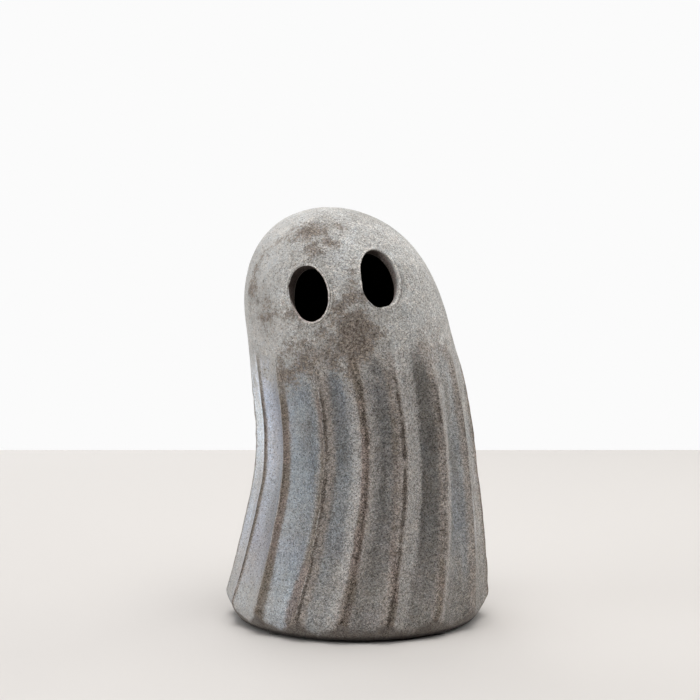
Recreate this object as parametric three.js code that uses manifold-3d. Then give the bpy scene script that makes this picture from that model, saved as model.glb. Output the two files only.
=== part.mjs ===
// A hollow stoneware ghost that stands on four felt pads.
// Millimetres, with +Z up. The face looks along -Y, so +X is on the viewer's right. The origin
// lies on the table, under the middle of the figure's outline.
import * as THREE from "three";
import { mergeVertices } from "three/addons/utils/BufferGeometryUtils.js";
import Module from "manifold-3d";

const wasm = await Module();
wasm.setup();

// Levels of the body, from the hem up. Each lies "rise" above the one before it. A section is a
// circle of "radius" over the ridges, and its centre is "lean" to the viewer's right.
const hem = { rise: 11.5, lean: -0.8, radius: 78 };
const skirt = { rise: 39, lean: 3.1, radius: 71.6 };
const waist = { rise: 40, lean: 4.7, radius: 65.5 };
const chest = { rise: 48, lean: 0, radius: 62.6 };
const brow = { rise: 32, lean: -6.3, radius: 59.2 };
// The dome closes from the brow to the crown. The crown's radius is where the taper heads for.
const crown = { rise: 68, lean: -16.6, radius: 62.9 };

// From the hem down, a slanting cut takes the shell in to the ring that it stands on.
const footInset = 8.5;
const footRadius = hem.radius - footInset;
const footRingWidth = 9.5;
const wallThickness = 10;

// Scooped flutes, which meet in sharp ridges. They start at the brow and reach their full depth
// "fluteRunIn" below it, where they also begin to turn.
const fluteCount = 16;
const fluteDepth = 4.5;
const fluteRunIn = 54;

// The ridges were cut by eye. Each lies some degrees off its even place, and at the hem it has
// turned some more towards the viewer's left. The figures repeat round the body, from the front.
const ridgeDrift = [0.3, -2.8, -0.2, -2.7, 1, 3.6, -1.1, 2.7];
const ridgeTwist = [-7, -7.2, -8.8, -5, -3, -4.1, -2, -5.7];
const twistGrowth = 1.5;

// Oval eye holes, square to the skin. "turn" and "lean" are in degrees: how far round from the
// front the hole lies, to the viewer's right, and how far its top tips to the viewer's left.
const leftEye = { turn: -19, height: 192, wide: 22.3, tall: 31.7, lean: 18 };
const rightEye = { turn: 25.5, height: 201, wide: 22.6, tall: 34.2, lean: -1 };

// Felt pads, spread evenly along the middle of the foot ring.
const padThickness = 1.5;
const padMargin = 0.75;
const padNames = ["front_right", "back_right", "back_left", "front_left"];

// Fineness of the solids.
const columnsPerFlute = 6;
const skirtRows = 16;
const domeRows = 10;
const cavityColumns = 40;
const cavityRows = 9;
const eyeSides = 32;
const padSides = 24;

const clay = new THREE.MeshStandardMaterial({ color: 0x7c7974, roughness: 0.93, metalness: 0 });
const felt = new THREE.MeshStandardMaterial({ color: 0x2e2b29, roughness: 1, metalness: 0 });

const levels = [hem, skirt, waist, chest, brow, crown];
let below = padThickness;
for (const level of levels) {
  level.height = below + level.rise;
  below = level.height;
}
const fullDepthHeight = brow.height - fluteRunIn;
const leanAt = curveThrough(levels.map((level) => level.height), levels.map((level) => level.lean));
const taperAt = curveThrough(levels.map((level) => level.height), levels.map((level) => level.radius));

// A smooth curve through values at rising places. Its slope at a place is that of its
// neighbours, and it stays level with its first value before the first place.
function curveThrough(places, values) {
  const gaps = places.slice(1).map((place, i) => place - places[i]);
  const steps = gaps.map((gap, i) => (values[i + 1] - values[i]) / gap);
  const slopes = places.map((_, i) => {
    if (i === 0 || i === steps.length) return 0;
    return (steps[i - 1] * gaps[i] + steps[i] * gaps[i - 1]) / (gaps[i - 1] + gaps[i]);
  });
  const last = steps.length;
  slopes[0] = 1.5 * steps[0] - 0.5 * slopes[1];
  slopes[last] = 1.5 * steps[last - 1] - 0.5 * slopes[last - 1];
  return (place) => {
    const held = Math.max(place, places[0]);
    let i = 0;
    while (i < last - 1 && held > places[i + 1]) i++;
    const t = (held - places[i]) / gaps[i];
    const rest = 1 - t;
    return (
      values[i] * (1 + 2 * t) * rest * rest +
      values[i + 1] * t * t * (3 - 2 * t) +
      gaps[i] * t * rest * (slopes[i] * rest - slopes[i + 1] * t)
    );
  };
}

// How much of the taper is left at a height, on the way up to a dome that closes at "top".
function domeShare(height, top) {
  const climb = THREE.MathUtils.clamp((height - brow.height) / (top - brow.height), 0, 1);
  return Math.sqrt(1 - climb * climb);
}

// The radius of the body over its ridges.
function smoothRadius(height) {
  return taperAt(height) * domeShare(height, crown.height);
}

function pointAt(turn, radius, height) {
  const x = leanAt(height) + radius * Math.sin(turn);
  return new THREE.Vector3(x, -radius * Math.cos(turn), height);
}

// The turn, in radians, of a ridge at a height.
function ridgeTurn(ridge, height) {
  const descent = Math.max(0, (fullDepthHeight - height) / (fullDepthHeight - hem.height));
  const cut = ridge % ridgeDrift.length;
  const off = ridgeDrift[cut] + ridgeTwist[cut] * descent ** twistGrowth;
  return THREE.MathUtils.degToRad((360 / fluteCount) * ridge + off);
}

// A point of the fluted skin. A column lies a share of the way between one ridge and the next.
function skinPoint(column, height) {
  const ridge = Math.floor(column / columnsPerFlute);
  const across = column / columnsPerFlute - ridge;
  const fullTurn = ridge + 1 === fluteCount ? 2 * Math.PI : 0;
  const start = ridgeTurn(ridge, height);
  const end = ridgeTurn((ridge + 1) % fluteCount, height) + fullTurn;
  const scoop = 4 * across * (1 - across);
  const depth = fluteDepth * THREE.MathUtils.smoothstep(brow.height - height, 0, fluteRunIn);
  const radius = smoothRadius(height) - depth * scoop;
  return { turn: start + (end - start) * across, radius };
}

// Where a column of the skin comes down to the slanting cut above the foot.
function cutHeight(column) {
  const cutSlope = footInset / hem.rise;
  let height = hem.height;
  for (let pass = 0; pass < 6; pass++) {
    height = padThickness + (skinPoint(column, height).radius - footRadius) / cutSlope;
  }
  return height;
}

// A closed solid over rings of points, from the lowest ring to the highest, with one point that
// closes it below and one above.
function loft(rings, bottom, top) {
  const around = rings[0].length;
  const points = [bottom, ...rings.flat(), top];
  const at = (row, column) => 1 + row * around + (column % around);
  const topRow = rings.length - 1;
  const faces = [];
  for (let column = 0; column < around; column++) {
    faces.push(0, at(0, column + 1), at(0, column));
    for (let row = 0; row < topRow; row++) {
      faces.push(at(row, column), at(row, column + 1), at(row + 1, column + 1));
      faces.push(at(row, column), at(row + 1, column + 1), at(row + 1, column));
    }
    faces.push(at(topRow, column), at(topRow, column + 1), points.length - 1);
  }
  return new THREE.BufferGeometry().setFromPoints(points).setIndex(faces);
}

function solidOf(geometry) {
  const bare = geometry.clone();
  bare.deleteAttribute("normal");
  bare.deleteAttribute("uv");
  const merged = mergeVertices(bare);
  const vertProperties = merged.attributes.position.array;
  const triVerts = new Uint32Array(merged.index.array);
  return new wasm.Manifold(new wasm.Mesh({ numProp: 3, vertProperties, triVerts }));
}

function geometryOf(solid) {
  const { vertProperties, triVerts } = solid.getMesh();
  const geometry = new THREE.BufferGeometry();
  geometry.setAttribute("position", new THREE.BufferAttribute(vertProperties, 3));
  geometry.setIndex(new THREE.BufferAttribute(triVerts, 1));
  return geometry;
}

// Heights from a start to the brow in even rows, and then up the dome in even turns of its arc.
// The crown itself is left out.
function risingHeights(start, rows, top, arcRows) {
  const heights = [];
  for (let row = 0; row < rows; row++) {
    heights.push(THREE.MathUtils.lerp(start, brow.height, row / rows));
  }
  for (let row = 0; row < arcRows; row++) {
    const arc = (Math.PI / 2) * (row / arcRows);
    heights.push(THREE.MathUtils.lerp(brow.height, top, Math.sin(arc)));
  }
  return heights;
}

// The body before it is hollowed: fluted skin, slanting cut and foot.
function outerSolid() {
  const columns = [];
  for (let column = 0; column < fluteCount * columnsPerFlute; column++) {
    const edge = cutHeight(column);
    const points = risingHeights(edge, skirtRows, crown.height, domeRows).map((height) => {
      const { turn, radius } = skinPoint(column, height);
      return pointAt(turn, radius, height);
    });
    const footTurn = skinPoint(column, edge).turn;
    columns.push([pointAt(footTurn, footRadius, padThickness), ...points]);
  }
  const rings = columns[0].map((_, row) => columns.map((column) => column[row]));
  return solidOf(loft(rings, pointAt(0, 0, padThickness), pointAt(0, 0, crown.height)));
}

// The hollow inside, which runs out through the foot. It is no wider than the foot ring leaves.
function cavitySolid() {
  const bore = footRadius - footRingWidth;
  const top = crown.height - wallThickness;
  const start = padThickness - wallThickness;
  const rings = risingHeights(start, cavityRows, top, cavityRows).map((height) => {
    const radius = Math.min(bore, taperAt(height) - wallThickness) * domeShare(height, top);
    return Array.from({ length: cavityColumns }, (_, column) =>
      pointAt((2 * Math.PI * column) / cavityColumns, radius, height),
    );
  });
  return solidOf(loft(rings, pointAt(0, 0, start), pointAt(0, 0, top)));
}

// An oval cylinder that goes through the wall at an eye, square to the skin.
function eyeSolid(eye) {
  const turn = THREE.MathUtils.degToRad(eye.turn);
  const skin = (angle, height) => pointAt(angle, smoothRadius(height), height);
  const nudge = 0.01;
  const seat = skin(turn, eye.height);
  const along = skin(turn + nudge, eye.height).sub(skin(turn - nudge, eye.height));
  const upward = skin(turn, eye.height + nudge).sub(skin(turn, eye.height - nudge));
  const outward = along.cross(upward).normalize();
  const side = new THREE.Vector3(0, 0, 1).cross(outward).normalize();
  side.applyAxisAngle(outward, THREE.MathUtils.degToRad(eye.lean));
  const down = side.clone().cross(outward);
  side.multiplyScalar(eye.wide / 2);
  down.multiplyScalar(eye.tall / 2);
  const frame = new THREE.Matrix4().makeBasis(side, outward, down).setPosition(seat);
  const cutter = new THREE.CylinderGeometry(1, 1, 4 * wallThickness, eyeSides);
  return solidOf(cutter.applyMatrix4(frame));
}

function ghostBody() {
  let solid = outerSolid().subtract(cavitySolid());
  for (const eye of [leftEye, rightEye]) {
    solid = solid.subtract(eyeSolid(eye));
  }
  const mesh = new THREE.Mesh(geometryOf(solid), clay);
  mesh.name = "ghost_body";
  return mesh;
}

function footPad(name, turn) {
  const radius = footRingWidth / 2 - padMargin;
  const disc = new THREE.CylinderGeometry(radius, radius, padThickness, padSides);
  const mesh = new THREE.Mesh(disc.rotateX(Math.PI / 2), felt);
  mesh.name = "foot_pad_" + name;
  mesh.position.copy(pointAt(turn, footRadius - footRingWidth / 2, padThickness / 2));
  return mesh;
}

const ghost = new THREE.Group();
ghost.add(ghostBody());
padNames.forEach((name, place) => {
  ghost.add(footPad(name, ((place + 0.5) / padNames.length) * 2 * Math.PI));
});
const outline = new THREE.Box3().setFromObject(ghost).getCenter(new THREE.Vector3());
ghost.position.set(-outline.x, -outline.y, 0);

export default ghost;
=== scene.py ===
# A hollow stoneware ghost on a pale table top, dressed over its CAD frame.
# The shape is worked out in millimetres, in the frame of the body's own axis, and written in metres.
import math

import bpy
import numpy as np
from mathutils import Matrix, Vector
from mathutils.geometry import delaunay_2d_cdt


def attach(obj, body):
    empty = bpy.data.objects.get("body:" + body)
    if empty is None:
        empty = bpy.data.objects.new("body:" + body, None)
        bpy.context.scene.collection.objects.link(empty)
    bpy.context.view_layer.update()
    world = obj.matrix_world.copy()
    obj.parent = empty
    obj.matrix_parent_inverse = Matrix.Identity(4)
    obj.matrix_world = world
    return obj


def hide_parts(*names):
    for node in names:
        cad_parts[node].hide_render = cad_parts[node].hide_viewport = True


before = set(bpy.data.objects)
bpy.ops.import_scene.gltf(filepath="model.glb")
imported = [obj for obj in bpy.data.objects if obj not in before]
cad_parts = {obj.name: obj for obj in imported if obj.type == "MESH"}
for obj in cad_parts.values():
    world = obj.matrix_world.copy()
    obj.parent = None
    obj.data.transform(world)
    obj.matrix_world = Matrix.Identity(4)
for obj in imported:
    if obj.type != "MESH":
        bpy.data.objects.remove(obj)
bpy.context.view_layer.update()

MM = 0.001
FULL_TURN = 2 * math.pi
AXIS_SHIFT = 0.8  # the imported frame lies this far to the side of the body's own axis

# Levels of the body: how far each lies above the one below it, how far the axis leans there to the
# viewer's right, and the radius over the ridges
PAD_THICKNESS = 1.5
RISES = np.array([11.5, 39, 40, 48, 32, 68])
LEANS = np.array([-0.8, 3.1, 4.7, 0, -6.3, -16.6])
RADII = np.array([78, 71.6, 65.5, 62.6, 59.2, 62.9])
HEIGHTS = PAD_THICKNESS + np.cumsum(RISES)
HEM, BROW, CROWN = HEIGHTS[0], HEIGHTS[4], HEIGHTS[5]
FOOT_INSET = 8.5
FOOT_RADIUS = RADII[0] - FOOT_INSET
RING_WIDTH = 9.5
WALL = 10.0

# Flutes, and how many degrees each ridge lies off its even place: all the way down, and more at the hem
FLUTES = 16
FLUTE_DEPTH = 4.5
FLUTE_RUN_IN = 54.0
RIDGE_DRIFT = np.array([0.3, -2.8, -0.2, -2.7, 1, 3.6, -1.1, 2.7])
RIDGE_TWIST = np.array([-7, -7.2, -8.8, -5, -3, -4.1, -2, -5.7])
TWIST_GROWTH = 1.5

# Eye holes: turn in degrees to the viewer's right, height, width, tallness, tip in degrees
EYES = {"left": (-19, 192, 22.3, 31.7, 18), "right": (25.5, 201, 22.6, 34.2, -1)}


# Shape of the body

def curve_through(places, values):
    """A smooth curve through values at rising places. It is level before the first of them."""
    gaps = np.diff(places)
    steps = np.diff(values) / gaps
    slopes = np.zeros(len(places))
    slopes[1:-1] = (steps[:-1] * gaps[1:] + steps[1:] * gaps[:-1]) / (gaps[:-1] + gaps[1:])
    slopes[0] = 1.5 * steps[0] - 0.5 * slopes[1]
    slopes[-1] = 1.5 * steps[-1] - 0.5 * slopes[-2]

    def value_at(place):
        place = np.maximum(np.asarray(place, float), places[0])
        i = np.clip(np.searchsorted(places, place) - 1, 0, len(places) - 2)
        t = (place - places[i]) / gaps[i]
        rest = 1 - t
        return (values[i] * (1 + 2 * t) * rest**2 + values[i + 1] * t * t * (3 - 2 * t)
                + gaps[i] * t * rest * (slopes[i] * rest - slopes[i + 1] * t))

    return value_at


lean_at = curve_through(HEIGHTS, LEANS)
taper_at = curve_through(HEIGHTS, RADII)


def dome_share(z, top=CROWN):
    """The share of the radius that is left at a height, as a dome closes from the brow to its top."""
    return np.sqrt(1 - np.clip((z - BROW) / (top - BROW), 0, 1) ** 2)


def smooth_radius(z):
    """Radius of the body over its ridges."""
    return taper_at(z) * dome_share(z)


def smooth_step(x, start, end):
    """0 up to the start and 1 from the end on, with a smooth rise between."""
    t = np.clip((x - start) / (end - start), 0, 1)
    return t * t * (3 - 2 * t)


def ridge_turn(ridge, z):
    """Turn of a ridge at a height, in radians from the front to the viewer's right."""
    descent = np.maximum(0, (BROW - FLUTE_RUN_IN - z) / (BROW - FLUTE_RUN_IN - HEM))
    row = ridge % len(RIDGE_DRIFT)
    off = RIDGE_DRIFT[row] + RIDGE_TWIST[row] * descent**TWIST_GROWTH
    return np.radians(360 / FLUTES * ridge + off)


def flute_presence(z):
    """0 at the brow, and 1 from where the flutes have their full depth."""
    return smooth_step(BROW - z, 0, FLUTE_RUN_IN)


def place_in_flutes(turn, z):
    """For points at a turn and a height: the share across the flute, its width in radians and its number."""
    turn, z = np.broadcast_arrays(np.asarray(turn, float), np.asarray(z, float))
    share, width, number = np.zeros(turn.shape), np.ones(turn.shape), np.zeros(turn.shape, int)
    for k in range(-1, FLUTES + 1):
        start, end = ridge_turn(k, z), ridge_turn(k + 1, z)
        for wrap in (-FULL_TURN, 0, FULL_TURN):
            here = (turn + wrap >= start) & (turn + wrap < end)
            share = np.where(here, (turn + wrap - start) / (end - start), share)
            width = np.where(here, end - start, width)
            number = np.where(here, k % FLUTES, number)
    return share, width, number


def skin_radius(turn, z, wear):
    """Radius of the skin, whose ridges are rounded over about "wear" millimetres each way."""
    share, width, _ = place_in_flutes(turn, z)
    smooth = smooth_radius(z)
    arc = width * np.maximum(smooth, 1)
    from_crest = np.sqrt((np.minimum(share, 1 - share) * arc) ** 2 + wear**2)
    across = np.minimum(from_crest / arc, 0.5)
    return smooth - FLUTE_DEPTH * 4 * across * (1 - across) * flute_presence(z)


def at(turn, radius, z):
    """Points at turns, radii and heights round the leaning axis."""
    turn, radius, z = np.broadcast_arrays(turn, radius, z)
    return np.stack([lean_at(z) + radius * np.sin(turn), -radius * np.cos(turn), z], -1).astype(float)


# Noise over space, from random values on a grid, with features of about one cell

rng = np.random.default_rng(11)
LATTICE = rng.uniform(-1, 1, (48, 48, 48))
NOISE_START, LAYER_SHIFT = 17.3, 5.1


def noise(points, cell, offset=0.0):
    p = np.asarray(points, float) / cell + NOISE_START + offset
    base = np.floor(p).astype(int)
    f = p - base
    f = f * f * (3 - 2 * f)
    n = LATTICE.shape[0]
    total = 0
    for dx in (0, 1):
        for dy in (0, 1):
            for dz in (0, 1):
                weight = (np.where(dx, f[..., 0], 1 - f[..., 0]) * np.where(dy, f[..., 1], 1 - f[..., 1])
                          * np.where(dz, f[..., 2], 1 - f[..., 2]))
                total = total + weight * LATTICE[(base[..., 0] + dx) % n, (base[..., 1] + dy) % n,
                                                 (base[..., 2] + dz) % n]
    return total


def layered(points, cell, layers=3, offset=0.0):
    """Noise in layers, each half as large and half as strong as the one before it."""
    total, size = 0, 0
    for i in range(layers):
        total = total + noise(points, cell / 2**i, offset + LAYER_SHIFT * i) / 2**i
        size += 1 / 2**i
    return total / size


# Mesh that grows ring by ring, with the zone that each point belongs to

SKIN, FOOT, TUNNEL, INSIDE = 0, 1, 2, 3


class Shell:
    def __init__(self):
        self.points, self.zones, self.faces, self.count = [], [], [], 0

    def ring(self, points, zone):
        """Adds points, and returns their numbers."""
        start = self.count
        self.points.append(np.asarray(points, float))
        self.zones.append(np.full(len(points), zone))
        self.count += len(points)
        return np.arange(start, self.count)

    def quads(self, low, high):
        """Faces between two rings of the same count."""
        a, b = low, np.roll(low, -1)
        c, d = np.roll(high, -1), high
        self.faces += np.stack([a, b, c, d], 1).tolist()

    def stitch(self, low, high, low_turns, high_turns):
        """Faces between two rings, also of different counts, matched by their turns."""
        if len(low) == len(high):
            self.quads(low, high)
            return
        n, m = len(low), len(high)
        gap = (high_turns - low_turns[0] + math.pi) % FULL_TURN - math.pi
        first = int(np.argmin(np.abs(gap)))
        a = np.append(low_turns, low_turns[0] + FULL_TURN)
        b = low_turns[0] + gap[first] + np.append(0, np.cumsum(
            (np.roll(np.roll(high_turns, -first), -1) - np.roll(high_turns, -first)) % FULL_TURN))
        i = j = 0
        while i < n or j < m:
            if j == m or (i < n and a[i + 1] <= b[j + 1]):
                self.faces.append([low[i], low[(i + 1) % n], high[(first + j) % m]])
                i += 1
            else:
                self.faces.append([low[i % n], high[(first + j + 1) % m], high[(first + j) % m]])
                j += 1

    def stitch_in(self, low, high, low_turns, high_turns):
        """The same for the inside, where the faces look the other way."""
        before = len(self.faces)
        self.stitch(low, high, low_turns, high_turns)
        self.faces[before:] = [f[::-1] for f in self.faces[before:]]

    def close(self, ring, point, zone, outward):
        """Faces from a ring to one point."""
        tip = self.ring([point], zone)[0]
        for i, v in enumerate(ring):
            w = ring[(i + 1) % len(ring)]
            self.faces.append([v, w, tip] if outward else [w, v, tip])

    def all_points(self):
        return np.concatenate(self.points)

    def all_zones(self):
        return np.concatenate(self.zones)

    def used(self):
        """Points, zones and faces, without the points that the eye holes left unused."""
        used = np.unique(np.concatenate([np.array(f) for f in self.faces]))
        number = np.full(self.count, -1)
        number[used] = np.arange(len(used))
        faces = [[int(number[v]) for v in f] for f in self.faces]
        return self.all_points()[used], self.all_zones()[used], faces


shell = Shell()


def ring_counts(radii, spacing, steps):
    """A falling count for each ring, taken from a few steps so that most rings match their neighbour."""
    wanted = FULL_TURN * np.asarray(radii) / spacing
    return [max((s for s in steps if s <= w), default=steps[-1]) for w in wanted]


# Columns of the skirt: close together on the ridges, wider apart in the flutes
FLUTE_ARC = 28.2
HALF_COLUMNS = np.array([0, 0.4, 0.85, 1.4, 2.2, 3.4, 5.0, 7.0, 9.2, 11.6]) / FLUTE_ARC
FLUTE_COLUMNS = np.concatenate([HALF_COLUMNS, [0.5], 1 - HALF_COLUMNS[:0:-1]])
column_ridge = np.repeat(np.arange(FLUTES), len(FLUTE_COLUMNS))
column_share = np.tile(FLUTE_COLUMNS, FLUTES)
SKIRT_COLUMNS = len(column_ridge)


def column_turns(z):
    start = ridge_turn(column_ridge, z)
    end = ridge_turn(column_ridge + 1, z)
    return start + (end - start) * column_share


def wear_at(points):
    """How far the ridges are rounded, which changes from place to place."""
    return 0.75 + 0.45 * noise(points, 11.0, 3.0) + 0.2 * noise(points, 3.0, 9.0)


def skirt_skin(z):
    """Turn and radius of the skin in each column at its height."""
    turns = column_turns(z)
    unworn = at(turns, taper_at(z), z)
    return turns, skin_radius(turns, z, wear_at(unworn))


def cut_heights():
    """Where the slanting cut at the foot meets the skin in each column, found in a few rounds."""
    z = np.full(SKIRT_COLUMNS, HEM)
    for _ in range(10):
        z = PAD_THICKNESS + (skirt_skin(z)[1] - FOOT_RADIUS) * RISES[0] / FOOT_INSET
    return z


def bent(corner, before, after, reach, steps=4):
    """Points round a corner, from "reach" before it to "reach" after it."""
    def toward(other):
        way = other - corner
        return corner + way * (reach / np.maximum(np.linalg.norm(way, axis=-1, keepdims=True), 1e-9))

    start, end = toward(before), toward(after)
    for i in range(steps + 1):
        t = i / steps
        yield start * (1 - t) ** 2 + 2 * corner * t * (1 - t) + end * t * t


def dome_rings(ring, turns, top, spacing, steps, radius_at, zone, inward=False):
    """Rings up a dome from the ring at the brow, closed with one point at its top."""
    stitch = shell.stitch_in if inward else shell.stitch
    fine = np.linspace(0, 1, 2000)
    z = BROW + (top - BROW) * np.sin(fine * math.pi / 2)
    r = radius_at(z)
    length = np.concatenate([[0], np.cumsum(np.hypot(np.diff(r), np.diff(z)))])
    count = int(length[-1] / spacing)
    stops = np.interp(length[-1] * np.arange(1, count) / count, length, z)
    for stop, n in zip(stops, ring_counts(radius_at(stops), spacing * 1.15, steps)):
        next_turns = np.arange(n) / n * FULL_TURN
        next_ring = shell.ring(at(next_turns, radius_at(stop), np.full(n, stop)), zone)
        stitch(ring, next_ring, turns, next_turns)
        ring, turns = next_ring, next_turns
    shell.close(ring, at(0.0, 0.0, float(top)), zone, outward=not inward)


# Outside, from the middle of the foot's underside out and up

UNDER_WIDTH = 4.0  # of the outer part of the foot's underside
HEEL_ROUNDING = 0.8
CUT_ROUNDING, CUT_BEND_STEPS = 3.0, 6
CUT_ROWS = (0.25, 0.5, 0.75)
ABOVE_CUT = 2.0
SKIRT_SPACING = 1.25
ROWS_LEFT_OUT = 2.4  # just above the cut, where its rounding is
DOME_SPACING = 1.45
DOME_STEPS = [288, 240, 192, 144, 96, 64, 40, 24, 12, 6]

cut_z = cut_heights()
cut_turns, cut_radius = skirt_skin(cut_z)
brow_turns = column_turns(np.full(SKIRT_COLUMNS, BROW))


def foot_and_skirt():
    """Points and zone of each ring, from the foot's underside to the brow."""
    level = np.full(SKIRT_COLUMNS, PAD_THICKNESS)
    under = at(cut_turns, FOOT_RADIUS - UNDER_WIDTH, level)
    heel = at(cut_turns, FOOT_RADIUS, level)
    edge = at(cut_turns, cut_radius, cut_z)
    above = at(*skirt_skin(cut_z + ABOVE_CUT), cut_z + ABOVE_CUT)
    yield under, FOOT
    for points in bent(heel, under, edge, HEEL_ROUNDING):
        yield points, FOOT
    slant = np.linalg.norm(edge - heel, axis=1, keepdims=True)
    for share in CUT_ROWS:
        along = (HEEL_ROUNDING + (slant - HEEL_ROUNDING - CUT_ROUNDING) * share) / slant
        yield heel * (1 - along) + edge * along, FOOT
    for i, points in enumerate(bent(edge, heel, above, CUT_ROUNDING, CUT_BEND_STEPS)):
        yield points, FOOT if i < CUT_BEND_STEPS / 2 else SKIN
    count = int((BROW - HEM) / SKIRT_SPACING)
    for row in range(1, count):
        z = cut_z + (BROW - cut_z) * (row + ROWS_LEFT_OUT) / (count + ROWS_LEFT_OUT)
        yield at(*skirt_skin(z), z), SKIN
    yield at(brow_turns, taper_at(BROW), BROW), SKIN


def build_outside():
    """Lays the foot, the skirt and the head. Returns the first ring, under the foot."""
    rings = foot_and_skirt()
    under_ring = last = shell.ring(*next(rings))
    for points, zone in rings:
        ring = shell.ring(points, zone)
        shell.quads(last, ring)
        last = ring
    dome_rings(last, brow_turns, CROWN, DOME_SPACING, DOME_STEPS, smooth_radius, SKIN)
    return under_ring


# Inside, from the foot's underside in and up

INNER_COLUMNS = 96
inner_turns = np.arange(INNER_COLUMNS) / INNER_COLUMNS * FULL_TURN
BORE = FOOT_RADIUS - RING_WIDTH
BORE_UNDER_WIDTH = 2.5  # of the inner part of the foot's underside
BORE_ROUNDING = 1.2
ABOVE_BORE_EDGE = 6.0
INNER_TOP = CROWN - WALL
INNER_SPACING = 3.6
INNER_DOME_STEPS = [96, 72, 48, 36, 24, 12, 6]
INNER_WALL_ROWS = 44


def cavity_radius(z):
    return np.minimum(BORE, taper_at(z) - WALL) * dome_share(z, INNER_TOP)


def inner_ring(radius, z):
    return at(inner_turns, radius, np.full(INNER_COLUMNS, float(z)))


def build_inside(under_ring):
    """Lays the inner part of the foot's underside, and the cavity."""
    under = inner_ring(BORE + BORE_UNDER_WIDTH, PAD_THICKNESS)
    ring = shell.ring(under, FOOT)
    shell.stitch_in(under_ring, ring, cut_turns, inner_turns)
    corner, above = inner_ring(BORE, PAD_THICKNESS), inner_ring(BORE, ABOVE_BORE_EDGE)
    rows = list(bent(corner, under, above, BORE_ROUNDING))
    rows += [inner_ring(cavity_radius(z), z) for z in np.linspace(PAD_THICKNESS, BROW, INNER_WALL_ROWS)[1:]]
    for points in rows:
        next_ring = shell.ring(points, INSIDE)
        shell.stitch_in(ring, next_ring, inner_turns, inner_turns)
        ring = next_ring
    dome_rings(ring, inner_turns, INNER_TOP, INNER_SPACING, INNER_DOME_STEPS, cavity_radius, INSIDE, True)


# Eye holes through both skins

EYE_SIDES = 96
EYE_ANGLES = np.arange(EYE_SIDES) / EYE_SIDES * FULL_TURN
HEAD_DEPTH = 35  # what lies further than this behind an eye's seat is the far side of the head
FRONT_CLEARANCE, BACK_CLEARANCE = 6.4, 6.8  # how much further out than the hole a skin is opened
TUNNEL_REACH = 1.0  # a ring that keeps this near the oval belongs to the hole's wall
TUNNEL_STEPS = 9
APPROACHES, APPROACH = 40, 0.8  # how often and by what share of its gap a point nears a skin

# Round each hole: seeds of its unevenness, then rows of millimetres, the two angles in degrees between
# which they are whole, and how softly they end. The rows are for the rounding of the edge over its least
# radius, the lip that the knife raised, the groove outside it, how far the knife strayed out of the oval,
# and how far the hole opens out at the back.
RIMS = {
    "left": {
        "seeds": (5, 8),
        "least": 0.45,
        "rounding": [(0.35, -130, -40, 30), (0.25, -30, 60)],
        "lip": [(0.6, -110, 62, 18), (0.15, 100, 160)],
        "groove": [(0.4, -95, 50)],
        "stray": [(0.45, 149, 153, 4), (-0.15, 136, 144, 5), (-0.45, 168, 205, 20)],
        "flare": [(1.3, 190, 265, 30)],
    },
    "right": {
        "seeds": (6, 9),
        "least": 0.4,
        "rounding": [(1.1, -60, 42, 20)],
        "lip": [(0.45, 195, 262), (0.45, 112, 150), (0.35, -60, 30)],
        "groove": [(0.5, -35, 25, 8), (0.2, 200, 250)],
        "stray": [(1.3, 212, 248, 30)],
        "flare": [(1.7, -25, 75, 40)],
    },
}


def eye_frame(turn, height, wide, tall, tip):
    """Seat on the skin, outward way, and the hole's own across and up ways."""
    turn, tip = math.radians(turn), math.radians(tip)

    def skin(a, z):
        return at(a, smooth_radius(z), z)

    nudge = 0.01
    seat = skin(turn, height)
    along = skin(turn + nudge, height) - skin(turn - nudge, height)
    upward = skin(turn, height + nudge) - skin(turn, height - nudge)
    out = np.cross(along, upward)
    out /= np.linalg.norm(out)
    side = np.cross([0, 0, 1], out)
    side /= np.linalg.norm(side)
    side = side * math.cos(tip) + np.cross(out, side) * math.sin(tip)
    return seat, out, side, np.cross(out, side)


def depth_to(out, points, radius_at):
    """How far points in the eye's plane lie from a skin, along the eye's axis."""
    move = np.zeros(len(points))
    for _ in range(APPROACHES):
        p = points + out * move[:, None]
        z = np.minimum(p[:, 2], CROWN - 0.01)
        gap = np.hypot(p[:, 0] - lean_at(z), p[:, 1]) - radius_at(z)
        move -= gap * APPROACH
    return move


def edge_loop(faces):
    """The points round a patch of faces, in order, from the sides that no two of the faces share."""
    edges = {}
    for f in faces:
        for a, b in zip(f, f[1:] + f[:1]):
            if (b, a) in edges:
                del edges[(b, a)]
            else:
                edges[(a, b)] = True
    after = {a: b for a, b in edges}
    start = next(iter(after))
    loop = [start]
    while after[loop[-1]] != start:
        loop.append(after[loop[-1]])
    return loop


def within(point, polygon):
    """Whether a point lies inside a polygon."""
    x, y = polygon[:, 0], polygon[:, 1]
    x2, y2 = np.roll(x, -1), np.roll(y, -1)
    crosses = (y > point[1]) != (y2 > point[1])
    with np.errstate(divide="ignore", invalid="ignore"):
        where = (x2 - x) * (point[1] - y) / (y2 - y) + x
    return bool(np.sum(crosses & (point[0] < where)) % 2)


def fill_between(ids, flat, n, inward):
    """Faces between an opening's edge, the first n points, and the ring inside it, the rest."""
    m = len(ids) - n
    lines = [(i, (i + 1) % n) for i in range(n)]
    lines += [(n + i, n + (i + 1) % m) for i in range(m)]
    found = delaunay_2d_cdt([Vector(v) for v in flat], lines, [], 0, 1e-9)
    assert len(found[0]) == len(ids), "the hole's edge took extra points"
    edge, ring = np.array(flat[:n]), np.array(flat[n:])
    for face in found[2]:
        centre = np.mean([flat[i] for i in face], axis=0)
        if within(centre, ring) or not within(centre, edge):
            continue
        a, b, c = (np.array(flat[i]) for i in face[:3])
        flipped = (np.cross(b - a, c - b) < 0) != inward
        shell.faces.append([ids[i] for i in (face[::-1] if flipped else face)])


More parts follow.
